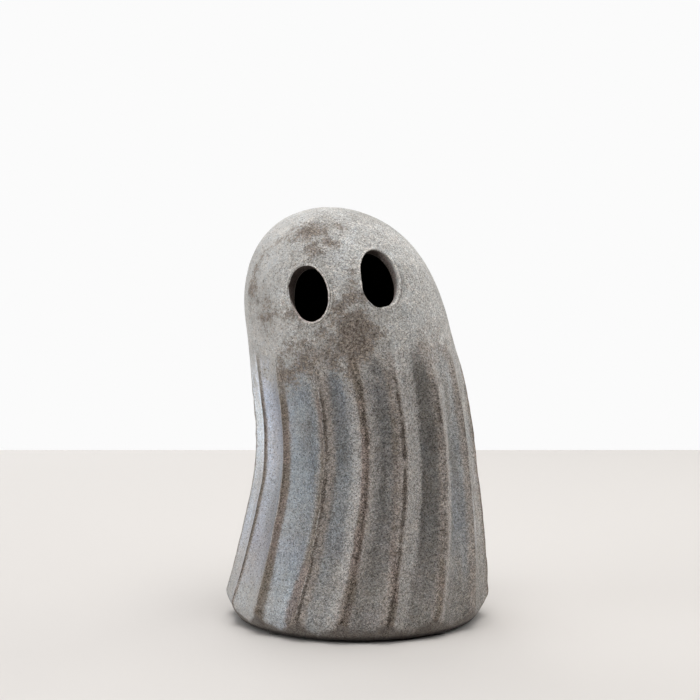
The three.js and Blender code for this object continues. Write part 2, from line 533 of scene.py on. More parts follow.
def cut_hole(eye, zone, radius_at, profile, clearance, inward):
    """Opens a skin round an eye. Returns the innermost of the rings laid round the hole."""
    seat, out, side, up = eye_frame(*eye)
    wide, tall = eye[2] / 2, eye[3] / 2
    local = shell.all_points() - seat
    x, y, depth = local @ side, local @ up, local @ out
    near = ((shell.all_zones() == zone) & (depth > -HEAD_DEPTH)
            & ((x / (wide + clearance)) ** 2 + (y / (tall + clearance)) ** 2 < 1))
    loop = edge_loop([f for f in shell.faces if near[f].any()])
    shell.faces = [f for f in shell.faces if not near[f].any()]
    normal = np.stack([np.cos(EYE_ANGLES) / wide, np.sin(EYE_ANGLES) / tall], 1)
    normal /= np.linalg.norm(normal, axis=1, keepdims=True)
    oval = np.stack([wide * np.cos(EYE_ANGLES), tall * np.sin(EYE_ANGLES)], 1)
    rings = []
    for away, lift in profile:
        flat = oval + normal * np.broadcast_to(away, EYE_ANGLES.shape)[:, None]
        plane = seat + flat[:, :1] * side + flat[:, 1:] * up
        p = plane + out * (depth_to(out, plane, radius_at) + lift)[:, None]
        rings.append(shell.ring(p, zone if np.max(away) > TUNNEL_REACH else TUNNEL))
    outermost = shell.points[-len(rings)] - seat
    flat = [(float(x[v]), float(y[v])) for v in loop]
    flat += list(zip((outermost @ side).tolist(), (outermost @ up).tolist()))
    fill_between(loop + rings[0].tolist(), flat, len(loop), inward)
    for outer, inner in zip(rings, rings[1:]):
        quads = np.stack([outer, np.roll(outer, -1), np.roll(inner, -1), inner], 1).tolist()
        shell.faces += [q[::-1] for q in quads] if inward else quads
    return rings[-1]


def window(angles, start, end, soft=12):
    """1 between two angles in degrees, counted round from the viewer's right by way of the top."""
    middle, half = math.radians((start + end) / 2), math.radians((end - start) / 2)
    off = np.abs((angles - middle + math.pi) % FULL_TURN - math.pi)
    return 1 - smooth_step(off, half, half + math.radians(soft))


def wobble(waves, seed):
    """Unevenness round a hole, from a few waves of random phase, between -1 and 1."""
    phases = np.random.default_rng(seed).uniform(0, FULL_TURN, len(waves))
    return sum(np.sin(w * EYE_ANGLES + p) for w, p in zip(waves, phases)) / len(waves)


def round_rim(rows, start=0.0):
    """The sum, at each angle, of a start and the rows of a rim."""
    return sum((amount * window(EYE_ANGLES, *where) for amount, *where in rows), start)


def rim_profile(rim):
    """Steps from the skin to the hole's edge: how far out from the oval, and how far above the skin."""
    uneven = wobble((3, 5, 8, 13), rim["seeds"][0])
    radius = round_rim(rim["rounding"], rim["least"]) * (1 + 0.25 * uneven)
    lip = round_rim(rim["lip"]) * (1 + 0.4 * uneven)
    groove = round_rim(rim["groove"])
    cut = round_rim(rim["stray"], 0.16 * wobble((4, 7, 11, 17, 23), rim["seeds"][1]))
    yield 5.0, 0.0
    yield 3.8, 0.0
    yield radius + 2.3, -0.5 * groove
    yield radius + 1.7 + cut * 0.2, -groove
    yield radius + 1.2 + cut * 0.4, 0.3 * lip - 0.4 * groove
    yield radius + 0.75 + cut * 0.6, 0.85 * lip
    yield radius + 0.35 + cut * 0.8, lip
    for arc in np.radians([0, 22, 45, 68, 90]):
        drop = (radius + lip * math.sin(arc)) * (1 - math.cos(arc))
        yield radius * (1 - math.sin(arc)) + cut, lip - drop


def back_profile(rim):
    """The same on the inside, where each hole opens out a little on one side."""
    flare = round_rim(rim["flare"])
    yield 4.6, 0.0
    for away, lift in ((1.5, 0.0), (0.5, 0.3), (0, 1.0)):
        yield away + flare, lift


def build_eye(eye, rim):
    front = cut_hole(eye, SKIN, smooth_radius, rim_profile(rim), FRONT_CLEARANCE, False)
    back = cut_hole(eye, INSIDE, cavity_radius, back_profile(rim), BACK_CLEARANCE, True)
    points = shell.all_points()
    ring = front
    for step in range(1, TUNNEL_STEPS):
        t = step / TUNNEL_STEPS
        next_ring = shell.ring(points[front] * (1 - t) + points[back] * t, TUNNEL)
        shell.quads(ring, next_ring)
        ring = next_ring
    shell.quads(ring, back)


# The whole shell, and where each of its points lies

STREAK_RADIUS, STREAK_SHARE = 62, 0.22  # make noise over "round_and_up" run in streaks down the body

build_inside(build_outside())
for name, eye in EYES.items():
    build_eye(eye, RIMS[name])
place, zones, faces = shell.used()
heights = place[:, 2]
turns = np.arctan2(place[:, 0] - lean_at(heights), -place[:, 1])
share, width, flute = place_in_flutes(turns, heights)
presence = flute_presence(heights)
arc = width * taper_at(heights)
from_crest = np.minimum(share, 1 - share) * arc
scoop = 4 * share * (1 - share) * presence
round_and_up = np.stack([turns * STREAK_RADIUS, heights * STREAK_SHARE, np.zeros_like(heights)], 1)


# The hand-made surface: unevenness, tool marks and flaws that are large enough to be shape

# How much of the relief each zone takes: skin, foot, tunnel, inside
RELIEF_SHARES = [1.0, 0.45, 0.8, 0.6]

SPOT_DEPTH = 25  # how far behind its seat a spot still counts

# Small flaws: turn, height, width, tallness, tip, depth of the dent
PITS = [
    (21, 164.5, 2.9, 2.1, 25, 0.5),
    (-46, 13.8, 2.4, 2.6, 0, 0.8),
    (37, 96, 1.9, 1.7, 0, 0.4),
    (-31, 120, 1.8, 1.8, 0, 0.4),
    (-57, 186, 2.0, 3.2, 20, 0.35),
    (128, 150, 3.0, 2.2, 40, 0.6),
    (196, 92, 2.2, 3.0, 10, 0.5),
    (242, 205, 3.2, 2.2, -20, 0.5),
    (160, 30, 2.6, 2.6, 0, 0.6),
]


def vertex_normals(points, faces):
    triangles = np.array([(f[0], f[i], f[i + 1]) for f in faces for i in range(1, len(f) - 1)])
    a, b, c = points[triangles[:, 0]], points[triangles[:, 1]], points[triangles[:, 2]]
    flat = np.cross(b - a, c - a)
    normals = np.zeros_like(points)
    for i in range(3):
        np.add.at(normals, triangles[:, i], flat)
    return normals / np.maximum(np.linalg.norm(normals, axis=1, keepdims=True), 1e-9)


def spot(turn, height, wide, tall, tip):
    """1 in the middle of an oval on the skin, falling to 0 at its edge. "turn" and "tip" are in degrees."""
    seat, out, side, up = eye_frame(turn, height, wide, tall, tip)
    local = place - seat
    away = np.hypot(local @ side / wide, local @ up / tall)
    return np.where(local @ out > -SPOT_DEPTH, np.clip(1 - away, 0, 1), 0)


def make_mesh(name, points, faces):
    mesh = bpy.data.meshes.new(name)
    mesh.from_pydata((points * MM).tolist(), [], faces)
    mesh.validate()
    mesh.update()
    piece = bpy.data.objects.new(name, mesh)
    bpy.context.scene.collection.objects.link(piece)
    return piece


pit, dent = np.zeros(len(place)), np.zeros(len(place))
for *where, depth in PITS:
    here = smooth_step(spot(*where), 0, 0.7)
    pit = np.maximum(pit, here)
    dent = np.maximum(dent, depth * here)

waves = 0.30 * layered(place, 30, 2)
lumps = 0.12 * layered(place, 6.5, 2, 21)
coarse_grain = 0.06 * noise(place, 1.9, 33)
tool_marks = 0.18 * scoop * noise(round_and_up, 4.5, 41)
nicks = 0.22 * (1 - smooth_step(from_crest, 0, 1.6)) * presence * np.maximum(0, noise(place, 4.2, 57))
relief = waves + lumps + coarse_grain + tool_marks - nicks - dent
points = place + vertex_normals(place, faces) * (relief * np.choose(zones, RELIEF_SHARES))[:, None]
points[:, 2] = np.where(zones == INSIDE, points[:, 2], np.clip(points[:, 2], PAD_THICKNESS, CROWN))

body = make_mesh("stoneware_body", points + [AXIS_SHIFT, 0, 0], faces)
for polygon in body.data.polygons:
    polygon.use_smooth = True


# Tables of where each finish, and each painted light and shade, lies

# Spots have turn, height, width, tallness, tip and strength. Worn ones show brown clay, frosty ones are pale.
WORN = [
    (-22, 226, 20, 13, 8, 1.0),
    (-44, 221, 14, 9, 30, 0.45),
    (-15, 216, 12, 12, 0, 0.8),
    (-28, 214, 9, 13, 0, 0.35),
    (-2, 219.5, 11, 7.5, -15, 0.85),
    (8, 229, 9, 9, 0, 0.55),
    (-64, 195, 12, 18, 0, 0.85),
    (-58, 212, 9, 10, 0, 0.6),
    (-2, 184, 13, 13, 0, 0.9),
    (5, 190, 14, 10, 0, 0.95),
    # The next three darken the skin beside the eyes.
    (9, 204, 6, 17, 0, 0.5),
    (45, 196, 9, 13, 0, 0.5),
    (-10, 187, 6, 18, 0, 0.6),
    (3, 173, 19, 17, 0, 1.3),
    (2, 165, 20, 17, 0, 1.3),
    (-1, 156, 8, 24, 5, 0.85),
    (12, 169, 14, 10, 0, 0.8),
    (-11, 158, 16, 15, 0, 0.85),
    (-24, 152, 16, 12, 0, 0.75),
    (-26, 158, 34, 24, 0, 0.65),
    (-14, 172, 18, 14, 0, 0.65),
    (-40, 147, 18, 20, 0, 0.8),
    (-30, 151, 16, 15, 0, 0.8),
    (-46, 180, 32, 26, 0, 0.5),
    (-28, 180, 26, 16, 0, 0.55),
    (150, 205, 22, 14, 20, 0.9),
    (200, 176, 30, 20, -15, 0.8),
    (105, 188, 18, 20, 10, 0.6),
    (-130, 170, 24, 22, 0, 0.7),
    (170, 222, 14, 10, 0, 0.7),
    (-100, 218, 16, 9, 20, 0.6),
]
FROST = [
    (3, 212, 12, 26, 4, 0.75),
    (40, 178, 26, 14, 0, 0.6),
    (12, 236, 18, 12, 0, 0.6),
    (-44, 208, 12, 14, 0, 0.5),
    (120, 205, 22, 16, 0, 0.8),
    (180, 190, 20, 26, 0, 0.7),
    (230, 215, 22, 14, 0, 0.8),
]

# The wash in each flute, from the front to the viewer's right: how light, partly its own tone and partly
# painted light and shade, darker on the flutes at the front and the back and lighter at the far left edge;
# how cool; how much lighter on its left than on its right, which is painted light on the side of a flute that
# faces a lamp; how light just above the foot; and how far from a crest it becomes whole
WASH_TONE_AND_PAINTED_LIGHT, WASH_COOL, WASH_PAINTED_SIDE_LIGHT, LOW_LIGHT, WASH_EDGE = np.array([
    (0.15, 0.15, -0.2, 0.32, 8),
    (0.15, 0.05, -0.2, 0.30, 8),
    (0.33, 0.35, 0, 0.20, 8),
    (0.40, 0.1, 0, 0.25, 8),
    (0.32, 0.3, 0.1, 0.3, 7),
    (0.26, 0.4, -0.1, 0.3, 8),
    (0.31, 0.5, 0.2, 0.33, 8),
    (0.27, 0.4, 0, 0.33, 8),
    (0.33, 0.3, -0.2, 0.33, 8),
    (0.28, 0.4, 0.1, 0.35, 8),
    (0.26, 0.5, 0, 0.35, 8),
    (0.34, 0.6, 0, 0.35, 6),
    (0.85, 0.75, 0, 0.42, 3),
    (0.50, 0.7, 0.45, 0.48, 3),
    (0.32, 0.85, 0.3, 0.52, 7),
    (0.235, 0.7, -0.15, 0.42, 8),
]).T

# Lengths of a flute where the wash is lighter or darker: flute, lower and upper height, share
WASH_PLACES = [
    (0, 137, 200, 0.4),
    (0, 48, 100, 0.12),
    (2, 50, 105, -0.2),
    (15, 55, 92, 0.22),
    (2, 108, 170, 0.08),
]
FAR_LEFT, NEXT_LEFT, THIRD_LEFT = 12, 13, 14

# Finishes and painted light by each ridge, from the front to the viewer's right. A middle is in millimetres
# to the right of the crest. The brown stain has a middle, half its width and a strength. The narrow dark
# line, partly worn clay and partly painted shade on crests that face the dark front, has a middle and a
# strength. The pale clay, partly bare and partly painted light on the flanks that face a lamp, has a strength
# on the left, one on the right, and its reach. The painted highlight, a fine pale line along the crest, has a
# middle and a strength.
RIDGES = [
    ((-0.4, 2.4, 1.1), (0.4, 1.0), (0.8, 0.65, 11.5), (-1.6, 0.2)),
    ((-4.2, 3, 0.5), (0, 1.1), (0.4, 1.0, 14.5), (1.6, 0.4)),
    ((-3, 2, 0.35), (-1.4, 0.55), (0.2, 0.85, 8), (0.8, 0.7)),
    ((2, 2.5, 0.5), (0, 0.6), (0.4, 0.6, 9), (0, 0.5)),
    ((-1, 2, 0.7), (0.5, 0.7), (0.5, 0.3, 8), (1, 0.4)),
    ((3, 3, 0.8), (-0.5, 0.8), (0.6, 0.6, 10), (-1, 0.5)),
    ((0, 2.2, 0.8), (1, 0.6), (0.3, 0.5, 8), (1, 0.3)),
    ((-3, 3, 0.6), (0, 0.9), (0.7, 0.3, 9), (-1.5, 0.5)),
    ((2, 2, 0.9), (-1, 0.7), (0.5, 0.5, 8), (1, 0.5)),
    ((0, 3, 0.6), (0.5, 0.8), (0.4, 0.6, 11), (0, 0.4)),
    ((-2, 2.4, 0.8), (0, 0.7), (0.6, 0.3, 9), (1, 0.5)),
    ((1, 2, 0.7), (-0.6, 0.9), (0.5, 0.5, 8), (-1, 0.3)),
    ((2, 2, 0.0), (0.4, 0.0), (0.6, 0.0, 9), (0, 0.5)),
    ((-1.2, 2.9, 1.1), (-0.3, 0.8), (0.0, 0.0, 9), (1, 0.2)),
    ((1.6, 2.4, 1.2), (0.5, 0.7), (0.0, 0.1, 9), (-1.0, 0.9)),
    ((-2.9, 2.6, 0.7), (-0.2, 1.2), (0.75, 0.3, 9), (-1.5, 0.6)),
]
STAIN, CREST_LINE_WEAR_AND_SHADE, PALE_AND_LIT, CREST_HIGHLIGHT = (np.array(column, float) for column in zip(*RIDGES))

# The stain of some ridges near the foot, where it spreads
LOW_STAIN = STAIN.copy()
for number, row in {0: (1.2, 3.6, 0.9), 1: (1.5, 2.8, 1.0), 2: (-0.5, 3, 0.8),
                    13: (-1.0, 1.8, 0.8), 14: (2.2, 3.8, 0.95), 15: (-5.5, 5.5, 0.9)}.items():
    LOW_STAIN[number] = row

# How many millimetres higher than elsewhere the dust on the shoulders ends, by turn in degrees
DUST_EDGE = np.array([
    (-85, -8), (-60, -8), (-40, -10), (-20, 2), (0, 12), (15, 13), (35, 13), (55, 18), (75, 10),
    (100, 0), (140, 8), (180, -4), (230, 6),
])

# Lines round the eyes: millimetres outside the hole, half the width, two angles in degrees, strength
EYE_LINES = {
    "left": {
        "lip": [(0.75, 0.55, -115, 70, 1.0), (2.0, 0.4, -105, -15, 0.8)],
        "knife_mark_and_groove_shade": [(1.4, 0.35, -100, 35, 0.7), (2.6, 0.4, -70, 30, 0.6), (0.9, 0.7, 85, 165, 0.7)],
    },
    "right": {
        "lip": [(0.8, 0.6, 100, 160, 0.9), (0.8, 0.6, 195, 268, 1.0), (1.0, 0.5, -70, 45, 0.8)],
        "knife_mark_and_groove_shade": [(2.4, 0.45, -40, 25, 1.0), (0.4, 0.4, 30, 75, 0.7), (1.9, 0.35, 200, 250, 0.4)],
    },
}
EYE_LINE_DEPTH = 20  # how far behind an eye's seat the lines still count
HOLE_TOP_SHADE_WAY = {"left": (-0.5, 0.87), "right": (-0.8, 0.6)}  # from each hole's middle to the part with painted shade


# Masks: a value on each point for each finish and each painted light and shade, which the material breaks up
# with finer noise

shows = smooth_step(BROW - heights, -2, 26)
low_down = 1 - smooth_step(heights, 16, 64)
behind = smooth_step(np.abs(turns), 1.8, 2.6)
streak = noise(round_and_up * [1, 0.7, 1], 3.6, 61)

# The nearest ridge, and how many millimetres to the right of its crest a point lies, with a little waver
RIDGE_GAP = 31.0  # sets the ridges apart in the noise down them, so that each has its own
by_left = share < 0.5
ridge = np.where(by_left, flute, (flute + 1) % FLUTES)
beside = np.where(by_left, share, share - 1) * arc + 0.7 * layered(place, 9, 2, 88)
down_ridge = np.stack([ridge * RIDGE_GAP, np.zeros_like(heights), heights], 1)


def strongest(spots):
    """For each point, the strongest of some spots."""
    found = np.zeros(len(place))
    for *where, strength in spots:
        found = np.maximum(found, strength * spot(*where))
    return found


def band(middle, half):
    """A soft line beside each crest."""
    return np.exp(-((beside - middle) / half) ** 2) * shows


def wash_tone_and_painted_light():
    # Painted light: each flute is lighter on the side that faces a lamp.
    light = WASH_TONE_AND_PAINTED_LIGHT[flute] * (1 + WASH_PAINTED_SIDE_LIGHT[flute] * (1 - 2 * share))
    light = light * (1 + 0.14 * layered(place, 16, 3, 90) + 0.2 * streak)
    darker = (flute == FAR_LEFT) + 0.6 * (flute == NEXT_LEFT)
    light = light * (1 - 0.34 * darker * (1 - smooth_step(heights, 72, 100)))
    for number, low, high, change in WASH_PLACES:
        along = smooth_step(heights, low - 12, low + 12) * (1 - smooth_step(heights, high - 12, high + 12))
        light = light * (1 + change * (flute == number) * along)
    return light + (LOW_LIGHT[flute] - light) * 0.7 * low_down


def wash_cool():
    cool = WASH_COOL[flute] + 0.35 * layered(place, 22, 2, 95)
    cool = cool - 0.45 * low_down * (flute != THIRD_LEFT) + 0.25 * streak
    return np.clip(cool, 0, 1)


def wash_lilac():
    lilac = 0.7 * (flute == NEXT_LEFT) * (1 - low_down) + 0.3 * (flute == FAR_LEFT)
    return np.clip(lilac + 0.6 * layered(place, 18, 2, 140), 0, 1)


# Pale bare clay beside the crests, with painted light on the flanks that face a lamp.
def pale_clay_and_lit_flank():
    from_line = np.abs(beside)
    flank = np.where(by_left, PALE_AND_LIT[ridge, 1], PALE_AND_LIT[ridge, 0])
    reach = PALE_AND_LIT[ridge, 2]
    pale = flank * smooth_step(from_line, 1.0, 3.0)
    pale = pale * (1 - smooth_step(from_line, reach - 5.5, reach + 3.5)) * shows
    return pale * (1 - 0.3 * low_down)


def brown_stain():
    spread = STAIN[ridge] + (LOW_STAIN - STAIN)[ridge] * low_down[:, None]
    return spread[:, 2] * band(spread[:, 0], spread[:, 1])


# The narrow dark line on the crests: partly worn clay, partly painted shade where a crest faces the dark
# front.
def worn_and_shaded_crest_line():
    uneven = 0.8 + 0.5 * noise(down_ridge, 9.0, 12) + 0.5 * noise(place, 2.4, 47)
    return CREST_LINE_WEAR_AND_SHADE[ridge, 1] * band(CREST_LINE_WEAR_AND_SHADE[ridge, 0], 1.35) * uneven * smooth_step(BROW - heights, 12, 36)


# Painted highlight: a fine pale line along the crests.
def painted_crest_highlight():
    return CREST_HIGHLIGHT[ridge, 1] * band(CREST_HIGHLIGHT[ridge, 0], 0.8) * (0.9 + 0.6 * noise(down_ridge, 7.0, 29))


def shoulder_dust(pale):
    edge = np.interp(np.degrees(turns), DUST_EDGE[:, 0], DUST_EDGE[:, 1], period=360) - 10 * pale
    ragged = 9 * layered(place, 24, 2, 70)
    return smooth_step(heights - edge + ragged + 9 * layered(place, 7, 2, 75), 124, 176)


def foot_cut():
    edge_above = np.interp(turns, cut_turns, cut_z, period=FULL_TURN) - heights
    return smooth_step(edge_above + 2.4 * layered(place, 6, 3, 80), -2.6, 4.4) * (zones != TUNNEL)


def eye_masks():
    """The pale lip and the dark knife marks, partly painted shade in the grooves, round the eyes, and painted
    shade under the top of each hole.
    """
    found = {kind: np.zeros(len(place)) for kind in ("lip", "knife_mark_and_groove_shade", "hole_top_shade")}
    for name, eye in EYES.items():
        seat, out, side, up = eye_frame(*eye)
        local = place - seat
        x, y, depth = local @ side, local @ up, local @ out
        near = depth > -EYE_LINE_DEPTH
        oval = np.hypot(x * 2 / eye[2], y * 2 / eye[3])
        outside = (oval - 1) * np.hypot(x, y) / np.maximum(oval, 1e-6)
        angle = np.arctan2(y / eye[3], x / eye[2])
        for kind, lines in EYE_LINES[name].items():
            for middle, half, start, end, strength in lines:
                line = strength * np.exp(-((outside - middle) / half) ** 2)
                found[kind] = np.maximum(found[kind], line * window(angle, start, end, 20) * near)
        way = HOLE_TOP_SHADE_WAY[name]
        under_top = (x * way[0] * 2 / eye[2] + y * way[1] * 2 / eye[3]) - 0.03 * depth
        # painted shade under the top of each hole
        found["hole_top_shade"] = np.where(near & (oval < 1.3), smooth_step(under_top, -0.25, 0.95), found["hole_top_shade"])
    return found


pale = pale_clay_and_lit_flank()
masks = {
    **eye_masks(),
    "light": wash_tone_and_painted_light(),
    "cool": wash_cool(),
    "wash": smooth_step(from_crest, 0, WASH_EDGE[flute]) * shows,
    "lilac": wash_lilac(),
    "calm": 0.55 * smooth_step(-turns, 0.3, 0.95) * (1 - behind),
    # painted shade on the back of the body, laid at the end of the material
    "behind": behind,
    # Painted contact shadow: the lowest few millimetres, by the foot's underside, are darkened.
    "heel": 1 - smooth_step(heights, PAD_THICKNESS + 0.7, PAD_THICKNESS + 3.6),
    "pale": pale,
    "highlight": painted_crest_highlight(),
    "frost": strongest(FROST),
    "stain": brown_stain(),
    "line": worn_and_shaded_crest_line(),
    "dust": shoulder_dust(pale),
    "patch": strongest(WORN),
    "pit": pit,
    "cut": foot_cut(),
    "hole": (zones == TUNNEL).astype(float),
    # Painted shade: the inside of the body is made nearly black.
    "dark": (zones == INSIDE).astype(float),
}
for name, values in masks.items():
    attribute = body.data.attributes.new(name, "FLOAT", "POINT")
    attribute.data.foreach_set("value", values.astype(np.float32))


# Materials

class Graph:
    """A material's nodes. Sizes are in millimetres and colours have three values."""

    def __init__(self, name):
        self.material = bpy.data.materials.new(name)
        self.material.use_nodes = True
        self.tree = self.material.node_tree
        self.shader = self.tree.nodes["Principled BSDF"]
        self.place = self.add("ShaderNodeTexCoord").outputs["Object"]

    def add(self, kind, sockets=(), **settings):
        node = self.tree.nodes.new(kind)
        for key, value in settings.items():
            setattr(node, key, value)
        for key, value in dict(sockets).items():
            self.put(node.inputs[key], value)
        return node

    def put(self, socket, value):
        if isinstance(value, bpy.types.NodeSocket):
            self.tree.links.new(value, socket)
        elif socket.type == "RGBA":
            socket.default_value = (*value, 1)
        else:
            socket.default_value = value

    def attribute(self, name):
        return self.add("ShaderNodeAttribute", attribute_name=name).outputs["Fac"]

    def math(self, operation, a, b):
        return self.add("ShaderNodeMath", {0: a, 1: b}, operation=operation).outputs[0]

    def vector_math(self, operation, *values):
        return self.add("ShaderNodeVectorMath", dict(enumerate(values)), operation=operation).outputs[0]

    def plus(self, a, b):
        return self.math("ADD", a, b)

    def minus(self, a, b):
        return self.math("SUBTRACT", a, b)

    def times(self, a, b):
        return self.math("MULTIPLY", a, b)

    def step(self, value, start, end, low=0.0, high=1.0):
        sockets = {"Value": value, "From Min": start, "From Max": end, "To Min": low, "To Max": high}
        return self.add("ShaderNodeMapRange", sockets, interpolation_type="SMOOTHSTEP").outputs[0]

    def noise(self, size, detail, rough, seed, place=None):
        """Noise from 0 to 1, with features of about one size."""
        sockets = {"Vector": place or self.place, "Scale": 1 / (size * MM), "Detail": detail,
                   "Roughness": rough, "W": seed}
        return self.add("ShaderNodeTexNoise", sockets, noise_dimensions="4D").outputs[0]

    def cells(self, size, out):
        """Grains of about one size: a random colour for each, or the distance from its middle."""
        sockets = {"Vector": self.place, "Scale": 1 / (size * MM)}
        return self.add("ShaderNodeTexVoronoi", sockets, voronoi_dimensions="4D").outputs[out]

    def mix(self, share, a, b, blend="MIX"):
        node = self.add("ShaderNodeMix", data_type="RGBA", blend_type=blend)
        self.put(node.inputs[0], share)
        self.put(node.inputs[6], a)
        self.put(node.inputs[7], b)
        return node.outputs[2]

    def two_tone(self, value, start, end, one, other):
        """A colour that turns into another as a value goes from the start to the end."""
        return self.mix(self.step(value, start, end), one, other)

    def tinted(self, colour, tint):
        return self.mix(1.0, colour, tint, "MULTIPLY")

    def combine(self, red, green, blue):
        return self.add("ShaderNodeCombineColor", {0: red, 1: green, 2: blue}).outputs[0]

    def bump(self, height, strength, distance):
        sockets = {"Height": height, "Strength": strength, "Distance": distance * MM}
        self.put(self.shader.inputs["Normal"], self.add("ShaderNodeBump", sockets).outputs[0])


# Washed stoneware

g = Graph("washed_stoneware")
ragged = g.noise(7, 6, 0.65, 1)
fine_ragged = g.noise(1.6, 4, 0.65, 2)
broad = g.noise(26, 4, 0.55, 3)
rough_edge = g.plus(g.minus(ragged, 0.5), g.times(g.minus(fine_ragged, 0.5), 1.1))


def broken(mask, amount, start, end, most=1.0):
    """A mask with an uneven edge."""
    return g.step(g.plus(g.attribute(mask), g.times(rough_edge, amount)), start, end, 0.0, most)


def lay(colour, finishes):
    """Lays finishes, and painted light and shade, over a colour: mask, unevenness of its edge, its start and
    end, cover, colour.
    """
    for mask, amount, start, end, cover, finish in finishes:
        colour = g.mix(broken(mask, amount, start, end, cover), colour, finish)
    return colour


def wash_colour():
    light = g.attribute("light")
    tint = g.mix(g.attribute("cool"), (1.07, 1.0, 0.92), (0.93, 1.003, 1.07))
    tint = g.mix(g.attribute("lilac"), tint, g.tinted(tint, (0.985, 0.98, 1.075)))
    return g.tinted(g.combine(light, light, light), tint)


clay_colour = g.two_tone(broad, 0.35, 0.65, (0.37, 0.332, 0.302), (0.3, 0.266, 0.24))
stain_colour = g.two_tone(broad, 0.4, 0.6, (0.225, 0.177, 0.155), (0.2, 0.168, 0.134))
dust_colour = g.two_tone(broad, 0.3, 0.7, (0.605, 0.591, 0.568), (0.455, 0.438, 0.415))
worn_colour = g.two_tone(fine_ragged, 0.38, 0.64, (0.108, 0.079, 0.063), (0.31, 0.262, 0.218))
cut_colour = g.two_tone(ragged, 0.35, 0.65, (0.145, 0.128, 0.115), (0.215, 0.192, 0.173))
colour = lay(clay_colour, [
    ("wash", 0.7, 0.25, 0.95, 1.0, wash_colour()),
    # pale clay beside the crests, partly painted light on flanks that face a lamp
    ("pale", 0.8, 0.25, 0.95, 0.8, (0.462, 0.44, 0.418)),
    ("stain", 0.9, 0.15, 0.75, 0.85, stain_colour),
    # dark crest line, partly worn clay and partly painted shade
    ("line", 1.4, 0.25, 0.95, 0.85, (0.105, 0.086, 0.072)),
    # painted highlight along the crests
    ("highlight", 0.9, 0.3, 0.9, 0.75, (0.52, 0.5, 0.48)),
    ("dust", 0.9, 0.15, 0.85, 0.96, dust_colour),
    ("frost", 0.9, 0.1, 0.9, 0.7, (0.55, 0.553, 0.55)),
    ("patch", 1.7, 0.2, 0.8, 0.9, worn_colour),
    ("cut", 0.9, 0.15, 0.85, 0.94, cut_colour),
])
colour = g.mix(g.times(g.attribute("pit"), 0.55), colour, (0.1, 0.085, 0.07))
colour = lay(colour, [
    # painted contact shadow near the foot's underside
    ("heel", 0.5, 0.1, 1.1, 0.9, (0.04, 0.035, 0.032)),
    ("lip", 0.35, 0.15, 0.7, 0.9, (0.68, 0.645, 0.605)),
    # dark knife marks round the eyes, partly painted shade in the groove outside the lip
    ("knife_mark_and_groove_shade", 0.5, 0.2, 0.8, 0.75, (0.13, 0.11, 0.092)),
])
# Painted shade on each hole's wall under its top.
hole_colour = g.mix(broken("hole_top_shade", 0.4, 0.1, 0.9), (0.54, 0.47, 0.44), (0.07, 0.055, 0.048))
colour = g.mix(g.attribute("hole"), colour, hole_colour)
# painted shade inside the body
colour = g.mix(g.attribute("dark"), colour, (0.045, 0.04, 0.035))

# Sand in the clay, which shows less where the clay is smooth: a shade for each grain, blotches of three
# sizes, and a few black and a few white grains
GRAIN = 0.62
grains = g.add("ShaderNodeSeparateColor", {"Color": g.cells(GRAIN, "Color")})
grain_red, grain_green, grain_blue = grains.outputs
smooth_clay = g.plus(g.times(g.attribute("cut"), 0.5), g.times(g.attribute("dust"), 0.12))
rough_clay = g.times(g.plus(g.attribute("stain"), g.attribute("line")), 0.35)
grain_depth = g.plus(g.minus(g.minus(1.0, smooth_clay), g.attribute("calm")), rough_clay)
BLOTCHES = [(0.42, 2, 4, 0.2), (2.2, 3, 8, 0.1), (9, 5, 5, 0.1)]  # size, detail, seed, spread


def around_one(value, spread):
    """1, more or less by "spread", as the value goes from 0 to 1."""
    return g.plus(1.0, g.times(g.times(g.minus(value, 0.5), 2 * spread), grain_depth))


shade = around_one(grain_red, 0.47)
for size, detail, seed, spread in BLOTCHES:
    shade = g.times(shade, around_one(g.step(g.noise(size, detail, 0.6, seed), 0.3, 0.7), spread))
shade = g.times(shade, g.step(grain_green, 0.92, 0.94, 1.0, 0.5))
shade = g.times(shade, g.step(grain_blue, 0.96, 0.98, 1.0, 1.2))

# Each grain leans a little to the warm or the cool, and so do larger blotches
blotch = g.noise(4.5, 3, 0.6, 10)
lean = g.plus(g.times(g.minus(grain_green, 0.5), 0.07), g.times(g.minus(blotch, 0.5), 0.12))
warm, cool = g.plus(1.0, lean), g.minus(1.0, lean)
sand_colour = g.combine(g.times(shade, warm), shade, g.times(shade, cool))
# Painted shade: the back of the body is made darker.
colour = g.mix(g.times(g.attribute("behind"), 0.35), colour, g.tinted(colour, (0.4, 0.38, 0.36)))
g.put(g.shader.inputs["Base Color"], g.tinted(colour, sand_colour))
g.put(g.shader.inputs["Roughness"], g.step(fine_ragged, 0.3, 0.7, 0.84, 0.98))
g.put(g.shader.inputs["Specular IOR Level"], 0.25)
sand = g.plus(g.times(g.cells(GRAIN, "Distance"), -0.7), g.noise(0.4, 3, 0.6, 6))
sand = g.plus(g.times(sand, grain_depth), g.times(g.noise(2.6, 3, 0.5, 7), 0.8))
g.bump(sand, 0.7, 0.22)
body.data.materials.append(g.material)
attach(body, "root")
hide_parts("ghost_body")


# Pressed wool on the pads: fibres that lie every way, with a few pale ones

